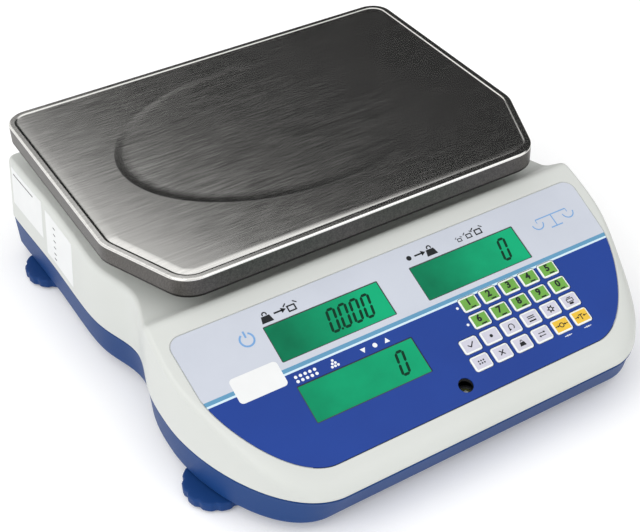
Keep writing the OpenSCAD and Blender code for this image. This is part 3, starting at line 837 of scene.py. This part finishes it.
def band(x, y, r, width, start=0, end=360):
    """A ring, or a part of one, as two or more closed outlines."""
    parts = max(2, round((end - start) / 90))
    cuts = np.linspace(start, end, parts + 1)
    return [
        np.concatenate([arc((x, y), r + width / 2, a, b, 8), arc((x, y), r - width / 2, b, a, 8)])
        for a, b in zip(cuts[:-1], cuts[1:])
    ]


def frame_mark(x, y, w, h, line):
    """The outline of a rectangle."""
    return [
        bar(x, y + (h - line) / 2, w, line), bar(x, y - (h - line) / 2, w, line),
        bar(x - (w - line) / 2, y, line, h - 2 * line), bar(x + (w - line) / 2, y, line, h - 2 * line),
    ]


def triangle(x, y, size, turn=0):
    a = np.radians(np.array([90, 210, 330]) + turn)
    return np.stack([x + size * np.cos(a), y + size * np.sin(a)], 1)


def arrow(x, y, length, turn, line):
    c, s = polar(length / 2, turn)
    head = triangle(x + c, y + s, line * 1.9, turn - 90)
    return [bar(x, y, length, line, turn), head]


def inward_arrows(x, y, gap, line=0.5):
    """Two arrows that point at (x, y)."""
    return arrow(x - gap, y, 2.2, 0, line) + arrow(x + gap, y, 2.2, 180, line)


def weight_mark(x, y, size):
    """A weight with a ring handle."""
    body = np.array([(0.42, 0.1), (-0.42, 0.1), (-0.6, -0.6), (0.6, -0.6)]) * size + [x, y]
    return [body, *band(x, y + 0.27 * size, 0.2 * size, 0.13 * size, -30, 210)]


def box_mark(x, y, size):
    """An open box with its two flaps."""
    flaps = [bar(x + k * 0.62 * size, y + 0.42 * size, 0.5 * size, 0.14 * size, -k * 40) for k in (-1, 1)]
    return frame_mark(x, y - 0.15 * size, size, size * 0.8, 0.17 * size) + flaps


def heap_mark(x, y, size):
    """A heap of six pieces."""
    return [
        disc(x + (i - row / 2) * 0.46 * size, y + (0.4 - row * 0.42) * size, 0.19 * size)
        for row in range(3) for i in range(row + 1)
    ]


def marks(name, outlines, part, low, high):
    """Printed marks on the panel as one thin piece."""
    obj = new_object(name, *prisms(outlines, low, high), PANEL)
    finish_piece(obj, "base", [part])


def glyph(character, size, bold, x, y):
    """Points and faces of a digit about (x, y), as a thin solid."""
    curve = bpy.data.curves.new("digit", "FONT")
    curve.body = character
    curve.size = size * MM
    curve.offset = bold * MM
    curve.extrude = 0.02 * MM
    curve.align_x = "CENTER"
    curve.align_y = "CENTER"
    curve.resolution_u = 4
    holder = linked("digit", curve)
    graph = bpy.context.evaluated_depsgraph_get()
    mesh = bpy.data.meshes.new_from_object(holder.evaluated_get(graph))
    points = [tuple(v.co / MM) for v in mesh.vertices]
    faces = [tuple(f.vertices) for f in mesh.polygons]
    bpy.data.objects.remove(holder)
    return moved((points, faces), x, y)


def panel_marks():
    """What is printed on the film. Words are replaced by plain pictograms."""
    low, high = FILM_TOP + 0.01, FILM_TOP + 0.04
    left = LCD_PLACES["weight"][0] - LCD_W / 2
    above = -9.6
    dark = weight_mark(left + 5, above, 6.4) + arrow(left + 13.5, above, 6, 0, 1.1)
    dark += box_mark(left + 22, above, 5.6)
    left = LCD_PLACES["piece_weight"][0] - LCD_W / 2
    dark += [disc(left + 4, above, 1.7)] + arrow(left + 11, above, 6, 0, 1.1)
    dark += weight_mark(left + 19.5, above, 6.4)
    for k, size in enumerate((3.2, 4.2, 5.2)):
        dark += box_mark(left + 41 + k * 7.2, above - (5.2 - size) / 2, size)
    marks("panel_marks_dark", dark, INK_DARK, low, high)
    left = LCD_PLACES["count"][0] - LCD_W / 2
    pale = heap_mark(left + 27, -52.4, 4.4)
    pale += [disc(left + 2.5 + 3.1 * i, -51.2 - 2.9 * j, 1.0) for i in range(5) for j in range(2)]
    pale += [triangle(left + 47, -52.2, 2.1, 180), triangle(left + 63, -52.8, 2.1)]
    pale.append(disc(left + 55, -52.4, 1.5))
    for row in (0, 1):
        pale.append(disc(KEY_X0 + 0.4 * KEY_PITCH_X, -KEY_S0 - row * KEY_PITCH_S, 0.9))
    for column in (4, 5):
        pale += inward_arrows(KEY_X0 + column * KEY_PITCH_X, -KEY_S0 - 3.62 * KEY_PITCH_S, 1.6, 0.4)
    marks("panel_marks_pale", pale, INK_PALE, low, high)
    x, y = LCD_PLACES["weight"][0] - 50.7, -18.5
    blue = band(x, y, 4.3, 1.2, -240, 60) + [bar(x, y + 3.6, 1.2, 4.4)]
    blue += balance_mark(117, -22.5)
    marks("panel_marks_blue", blue, INK_BLUE, low, high)


def balance_mark(x, y):
    """A plain beam balance."""
    parts = [bar(x, y - 4.6, 9, 0.8), bar(x, y - 0.2, 0.8, 8.0), bar(x, y + 4.2, 24, 0.8)]
    for side in (-12, 12):
        parts += band(x + side, y + 1.2, 4.0, 0.8, 180, 360)
        parts += [bar(x + side, y + 2.8, 0.5, 2.4)]
    return parts


def white_label():
    """The pale sticker at the film's left end."""
    edge, face = round_rect(30.5, 16.5, 2.5), round_rect(30.2, 16.2, 2.4)
    sheet = stack([(edge, FILM_TOP), (edge, FILM_TOP + 0.08), (face, FILM_TOP + 0.12)])
    label = new_object("panel_label", *moved(sheet, -109.2, -45.2), PANEL)
    finish_piece(label, "base", [LABEL])


# ---- Keys ----

KEY_TOP = 0.5
KEY_BORDER = 1.1


def key_mark(name, x, y):
    """Points and faces of a key's mark: a digit, or a pictogram about the key's middle."""
    low, high = KEY_TOP + 0.01, KEY_TOP + 0.04
    if name.isdigit():
        under = prism(bar(x + 1.2, y - 3.0, 3.6, 0.9), low, high)
        return joined([moved(glyph(name, 6.2, 0.26, x - 0.4, y + 0.9), 0, 0, KEY_TOP + 0.03), under])
    shapes = {
        "check": [bar(-1.2, -0.5, 2.6, 0.7, -45), bar(0.9, 0.2, 4.2, 0.7, 50)],
        "point": [disc(0, 0, 1.1)],
        "recall": band(0, 0, 1.8, 0.6, -60, 210) + [triangle(-1.7, -1.4, 1.2, 20)],
        "total": [bar(0, 1.2, 5, 0.6), bar(0, 0, 5, 0.6), bar(0, -2, 5, 0.9)],
        "setup": band(0, 0, 1.3, 0.7) + [bar(*polar(2.1, a), 0.9, 0.8, a) for a in range(0, 360, 60)],
        "print": frame_mark(0, 0.2, 5, 2.4, 0.5) + [bar(0, 2.1, 3, 0.6), bar(0, -2.0, 3, 1.4)],
        "sample": [disc(i * 1.7, j * 1.7, 0.55) for i in (-1, 0, 1) for j in (-0.5, 0.5)],
        "clear": [bar(0, 0, 4.4, 0.7, 45), bar(0, 0, 4.4, 0.7, -45)],
        "piece_weight": weight_mark(0, 0.4, 3.6),
        "units": arrow(-0.2, 1.0, 4.2, 0, 0.5) + arrow(0.2, -1.0, 4.2, 180, 0.5),
        "zero": band(0, 0, 1.4, 0.6) + inward_arrows(0, 0, 3.5),
        "tare": [bar(0, 1.2, 3.2, 0.6), bar(0, -0.7, 0.6, 3.2)] + inward_arrows(0, 0, 3.3),
    }
    return moved(prisms(shapes[name], low, high), x, y)


def key_cap(name, x, y):
    """A pillowed cap with a pale border, a coloured face and a printed mark."""
    base = round_rect(KEY_W, KEY_H, 1.8, 7)
    profile = [(0, -1.4), (0, -0.1), (0.12, 0.12), (0.35, 0.3), (0.75, 0.42), (1.15, 0.47), (1.6, KEY_TOP)]
    cap = moved(stack([(inset(base, depth), z) for depth, z in profile]), x, y)
    obj = new_object("key_" + name + "_cap", *joined([cap, key_mark(name, x, y)]), PANEL)
    cap_faces = len(cap[1])
    face_w, face_h = KEY_W / 2 - KEY_BORDER, KEY_H / 2 - KEY_BORDER
    middle, border, mark = range(3)

    def choose(index, p):
        if index >= cap_faces:
            return mark
        return border if max(abs(p.x - x) - face_w, abs(p.y - y) - face_h) > 0 else middle

    recolour(obj, choose)
    colour = "green" if name.isdigit() else "yellow" if name in ("zero", "tare") else "white"
    parts = [KEY_FACES[colour], KEY_EDGE, INK_DARK]
    finish_piece(obj, f"key_{name}_cap", parts, ["key_" + name], sharp=50)


# ---- Displays ----

READINGS = {"weight": "0.000", "piece_weight": "0", "count": "0"}
DIGIT_W = 4.6
DIGIT_H = 14.4
DIGIT_PITCH = 7.9
DIGIT_SLANT = 0.2
STROKE = 1.75


def zero_outlines(x):
    """The six lit segments of a 0 about (x, 0), before it is slanted."""
    w, h, t = DIGIT_W / 2, DIGIT_H / 2, STROKE / 2
    across = [(0, h), (0, -h)]
    upright = [(w, h / 2), (w, -h / 2), (-w, -h / 2), (-w, h / 2)]
    outlines = []
    for places, length, turn in ((across, DIGIT_W, False), (upright, h, True)):
        r = length / 2 - 0.12
        shape = np.array([(r, 0), (r - t, t), (t - r, t), (-r, 0), (t - r, -t), (r - t, -t)])
        if turn:
            shape = shape[:, ::-1] * [-1, 1]
        outlines += [shape + [x + place[0], place[1]] for place in places]
    return outlines


def display(name):
    """A display's carrier, window with painted light, a black frame round it that is painted shade, and
    reading in slanted seven-segment zeros.
    """
    x, s = LCD_PLACES[name]
    node = name + "_display"
    edge = round_rect(LCD_W - 0.2, LCD_H - 0.2, 0.6)
    face = round_rect(LCD_W - 0.5, LCD_H - 0.5, 0.5)
    panel = stack([(edge, -3), (edge, -0.36), (face, -0.3)])
    back = prism(bar(x, -s, LCD_W + 7, LCD_H + 8), -7.9, -2.9)
    carrier = new_object(node + "_carrier", *back, PANEL)
    bevel(carrier, 35)
    bake(carrier)
    finish_piece(carrier, "base", [BLACK_PLASTIC_AND_SHADE])
    window = new_object(node + "_window", *moved(panel, x, -s), PANEL)
    finish_piece(window, "base", [LCD_EVEN if name == "count" else LCD], [node])
    # Painted shade: the thin black frame at the window's edge stands for the shadow there.
    rim = prisms(frame_mark(0, 0, LCD_W - 0.1, LCD_H - 0.1, 0.55), -0.34, -0.22)
    shade_gasket = new_object(node + "_painted_shade_gasket", *moved(rim, x, -s), PANEL)
    finish_piece(shade_gasket, "base", [BLACK_PLASTIC_AND_SHADE])
    digits = READINGS[name].count("0")
    last = x + LCD_W / 2 - 13.6
    outlines = [o for place in range(digits) for o in zero_outlines(last - place * DIGIT_PITCH)]
    if "." in READINGS[name]:
        outlines.append(disc(last - 2.5 * DIGIT_PITCH, -DIGIT_H / 2, 0.75))
    slanted = [o + np.stack([o[:, 1] * DIGIT_SLANT, np.full(len(o), -s)], 1) for o in outlines]
    marks(node + "_reading", slanted, SEGMENT, -0.29, -0.26)


# ---- Level ----


def vial_part(name, part, look, stands_for=()):
    finish_piece(new_object("level_vial_" + name, *part), "base", [look], stands_for)


def level_vial():
    """A round vial in a black cup, with a target ring, green liquid and a bubble."""
    seat, top = LEVEL_SEAT_Z, LEVEL_TOP_Z
    cup = turned([
        (8.5, seat), (8.5, seat + 1.5), (6.5, seat + 1.5), (6.5, top - 0.3), (6.2, top), (4.4, top),
        (4.1, top - 0.4), (4.1, top - 1.2),
    ])
    vial_part("cup", moved(cup, 0, LEVEL_Y), BLACK_PLASTIC_AND_SHADE, ["level_vial"])
    dome = turned([
        (4.08, top - 1.15), (4.08, top - 0.6), (3.4, top - 0.35), (2.2, top - 0.15), (0.8, top - 0.05),
    ])
    vial_part("liquid", moved(dome, 0, LEVEL_Y), LIQUID)
    vial_part("ring", prisms(band(0, LEVEL_Y, 2.1, 0.25), top - 0.14, top - 0.06), INK_DARK)
    profile = [(0.3, top - 0.2), (1.2, top - 0.12), (1.35, top - 0.02), (1.0, top + 0.08), (0.4, top + 0.13)]
    vial_part("bubble", moved(turned(profile, 24), 0.5, LEVEL_Y + 0.3), ACRYLIC)


# ---- Feet ----


def foot(which):
    """A fluted knob with a rubber sole."""
    high = box_mm("foot_knob_" + which)[1]
    centre = middle_mm("foot_knob_" + which)
    turn = np.radians(np.arange(0, 360, 2.5))
    flute = np.maximum(0, np.cos(12 * turn)) ** 1.5
    rings = []
    lower = [(2.6, 1.6), (1.1, 1.6), (0.3, 1.9), (0, 2.4)]
    upper = [(0, high.z - 1.2), (0.35, high.z - 0.35), (1.2, high.z), (5, high.z)]
    for depth, z in lower + upper:
        r = FOOT_R - depth - flute * (depth < 4)
        rings.append(at_height(np.stack([r * np.cos(turn), r * np.sin(turn)], 1), z))
    knob = new_object("foot_knob_" + which + "_cap", *moved(loft(rings), centre.x, centre.y))
    finish_piece(knob, "knob_" + which, [BLUE_PLASTIC], ["foot_knob_" + which], sharp=50)
    r = FOOT_R - 3.2
    profile = [(r - 0.6, 0), (r, 0.5), (r, 1.62), (r - 2, 1.62)]
    sole = new_object("foot_sole_" + which, *moved(turned(profile, 64), centre.x, centre.y))
    finish_piece(sole, "knob_" + which, [RUBBER], sharp=50)


# ---- Underside and stickers ----


def battery_cover():
    """The battery bay's lid, with a finger catch and grooves."""
    low, high = box_mm("battery_cover")
    middle = middle_mm("battery_cover")
    w, d = high.x - low.x, high.y - low.y
    edge, face = round_rect(w, d, 2), round_rect(w - 1, d - 1, 1.5)
    plate = stack([(face, low.z), (edge, low.z + 0.5), (edge, high.z)])
    lid = new_object("battery_lid", *moved(plate, middle.x, middle.y))
    mouth = round_rect(30, 16, 6)
    pocket = stack([(round_rect(26, 12, 5), low.z + 1.4), (mouth, low.z - 0.1), (mouth, low.z - 2)])
    grooves = prisms([bar(0, y, w - 16, 1.2) for y in np.arange(-11.4, 33, 5)], low.z - 1, low.z + 0.5)
    parts = joined([moved(pocket, 0, 14 - d / 2), grooves])
    cut(lid, new_object("lid_cutter", *moved(parts, middle.x, middle.y)))
    finish_piece(lid, "base", [BLUE_PLASTIC], ["battery_cover"], sharp=40)


def wall_rows():
    """The right wall and its rounding, as rows of (depth, half width, height), from the join up."""
    rows = []
    for points in [ring(0, JOIN_Z + 0.6)] + [roof_ring(a) for a in np.linspace(0, 90, 31)]:
        half = points[:len(OUTLINE)]
        half = half[(half[:, 0] > 100) & (half[:, 1] > -60)]
        rows.append(half[np.argsort(half[:, 1])][:, [1, 0, 2]])
    return rows


def wall_x(rows, y, z):
    """How far out the wall is at a depth and height."""
    here = sorted((np.interp(y, row[:, 0], row[:, 2]), np.interp(y, row[:, 0], row[:, 1])) for row in rows)
    return np.interp(z, *zip(*here))


def wall_sheet(rows, ys, zs, under, over):
    """A thin sheet on the left wall, over a grid, between two heights above the wall."""
    wall = [(-wall_x(rows, y, z), y, z) for z in zs for y in ys]
    points = [(x - out, y, z) for out in (over, under) for x, y, z in wall]
    n, m, count = len(ys), len(zs), len(wall)
    faces = []
    for a in (i * n + j for i in range(m - 1) for j in range(n - 1)):
        quad = (a, a + 1, a + 1 + n, a + n)
        faces += [quad, tuple(k + count for k in quad[::-1])]
    rim = [*range(n), *(i * n + n - 1 for i in range(1, m)), *(count - 1 - j for j in range(1, n))]
    rim += [i * n for i in range(m - 2, 0, -1)]
    faces += [(a, b, b + count, a + count) for a, b in zip(rim, rim[1:] + rim[:1])]
    return points, faces


def sticker(name, y_low, y_high, z_low, z_high, lines):
    """A paper sticker on the left wall, which follows it, with plain dark marks on it."""
    rows = wall_rows()
    paper = wall_sheet(rows, np.linspace(y_low, y_high, 25), np.linspace(z_low, z_high, 7), -0.05, 0.12)
    finish_piece(new_object(name, *paper), "base", [LABEL])
    ruled = [wall_sheet(rows, np.linspace(y0, y1, 12), (z, z + 0.8), 0.13, 0.16) for y0, y1, z in lines]
    finish_piece(new_object(name + "_lines", *joined(ruled)), "base", [INK_DARK])


# ---- Materials of the CAD nodes that stay ----

NODE_MATERIALS = {
    "pan_support": CAST, "pan_pads": RUBBER, "foot_inserts": BRASS,
    "load_cell": MACHINED, "load_cell_top_block": MACHINED, "load_cell_base_block": MACHINED,
    "platform_bolts": ZINC, "load_cell_bolts": ZINC, "housing_screws": ZINC, "overload_stops": ZINC,
    "display_board": BOARD, "keypad_board": BOARD, "main_board": BOARD, "serial_port": ZINC,
    "buzzer": BLACK_PLASTIC_AND_SHADE, "power_inlet": BLACK_PLASTIC_AND_SHADE, "power_switch": BLACK_PLASTIC_AND_SHADE,
    "power_rocker": ROCKER, "battery": BATTERY, "load_cell_cable": CABLE, "display_ribbon": RIBBON,
}
NODE_MATERIALS |= {"foot_stud_" + which: ZINC for which in FEET}
BEVELLED = [
    "load_cell", "load_cell_top_block", "load_cell_base_block", "pan_support", "battery", "power_rocker",
]


def dress_cad_nodes():
    for name, part in NODE_MATERIALS.items():
        nodes[name].data.materials.clear()
        nodes[name].data.materials.append(part)
    for name in BEVELLED:
        bevel(nodes[name], 40)


# ---- Camera, floor and light ----

CAMERA_PLACE = (-335.65, -583.94, 574.79)
CAMERA_ANGLES = (-31.443, 38.872, -0.945)
# The dark room's middle, and how bright the tent is at each cosine of the angle from it.
DARK_SIDE = (0.788, 0.512, -0.342)
SKY = [
    (-1, 0.85), (-0.35, 1.0), (0.2, 1.0), (0.36, 1.0), (0.385, 0.53), (0.4, 0.09), (0.425, 0.024),
    (0.48, 0.02), (0.99, 0.02),
]


def camera():
    """Looks down at the console's left corner, as a person who stands before the scale would."""
    data = bpy.data.cameras.new("camera")
    data.sensor_width = 36
    data.lens = 72.96
    data.shift_x = -0.057
    obj = linked("camera", data)
    azimuth, elevation, roll = (math.radians(a) for a in CAMERA_ANGLES)
    back = Vector((
        math.sin(azimuth) * math.cos(elevation),
        -math.cos(azimuth) * math.cos(elevation),
        math.sin(elevation),
    ))
    right = Vector((math.cos(azimuth), math.sin(azimuth), 0))
    up = back.cross(right)
    axes = Matrix((right, up, back)).transposed() @ Matrix.Rotation(roll, 3, "Z")
    obj.matrix_world = Matrix.Translation(Vector(CAMERA_PLACE) * MM) @ axes.to_4x4()
    bpy.context.scene.camera = obj


def area_light(name, place, target, size, power):
    data = bpy.data.lights.new(name, "AREA")
    data.shape = "RECTANGLE"
    data.size, data.size_y = size
    data.energy = power
    obj = linked(name, data)
    obj.location = place
    obj.rotation_euler = (Vector(place) - Vector(target)).to_track_quat("Z", "Y").to_euler()


def sky():
    """A white tent that is brightest overhead, with a dark room low down to the right of the back.

    The room shows only in reflections, so the background is pale from every side.
    """
    world = bpy.data.worlds.new("studio")
    world.use_nodes = True
    bpy.context.scene.world = world
    tree = world.node_tree
    toward = add(tree, "VectorMath", operation="DOT_PRODUCT")
    toward.inputs[1].default_value = DARK_SIDE
    tree.links.new(add(tree, "TexCoord").outputs["Generated"], toward.inputs[0])
    ramp = add(tree, "ValToRGB")
    stops = ramp.color_ramp.elements
    for place, level in SKY:
        stop = stops.new((place + 1) / 2)
        stop.color = (level, level, level, 1)
    stops.remove(stops[0])
    stops.remove(stops[-1])
    pale_to_camera = add(tree, "Math", operation="SUBTRACT")
    tree.links.new(toward.outputs["Value"], pale_to_camera.inputs[0])
    tree.links.new(add(tree, "LightPath").outputs["Is Camera Ray"], pale_to_camera.inputs[1])
    tree.links.new(to_range(tree, pale_to_camera.outputs[0], 0, 1, -1, 1), ramp.inputs["Fac"])
    tree.links.new(ramp.outputs["Color"], tree.nodes["Background"].inputs["Color"])
    height = add(tree, "SeparateXYZ")
    tree.links.new(add(tree, "TexCoord").outputs["Generated"], height.inputs["Vector"])
    strength = to_range(tree, height.outputs["Z"], 1.02, 1.2, 0.0, 0.9)
    tree.links.new(strength, tree.nodes["Background"].inputs["Strength"])


def studio():
    corners = [(x * 6000, y * 6000, 0) for x, y in ((-1, -1), (1, -1), (1, 1), (-1, 1))]
    floor = new_object("floor", corners, [(0, 1, 2, 3)])
    floor.data.materials.append(FLOOR)
    area_light("key_light", (-0.9, -0.3, 0.9), (0, 0, 0.05), (0.7, 0.7), 3)
    area_light("front_light", (0.5, -0.7, 1.2), (0, -0.05, 0.05), (0.6, 0.5), 1.6)
    sky()
    bpy.context.scene.view_settings.view_transform = "Standard"


# ---- Build ----


def build():
    camera()
    white_shell()
    blue_base()
    panel_film()
    weighing_pan()
    panel_marks()
    white_label()
    for name, x, y in key_places():
        key_cap(name, x, y)
    for name in LCD_PLACES:
        display(name)
    level_vial()
    for which in FEET:
        foot(which)
    battery_cover()
    sticker("rating_sticker", 64, 108, 39, 73, [(92, 95.5, z) for z in (66, 61, 56, 51, 46, 42)])
    sticker("plain_sticker", 114, 164, 47, 75.5, [(128, 161, 71)])
    dress_cad_nodes()
    studio()


build()
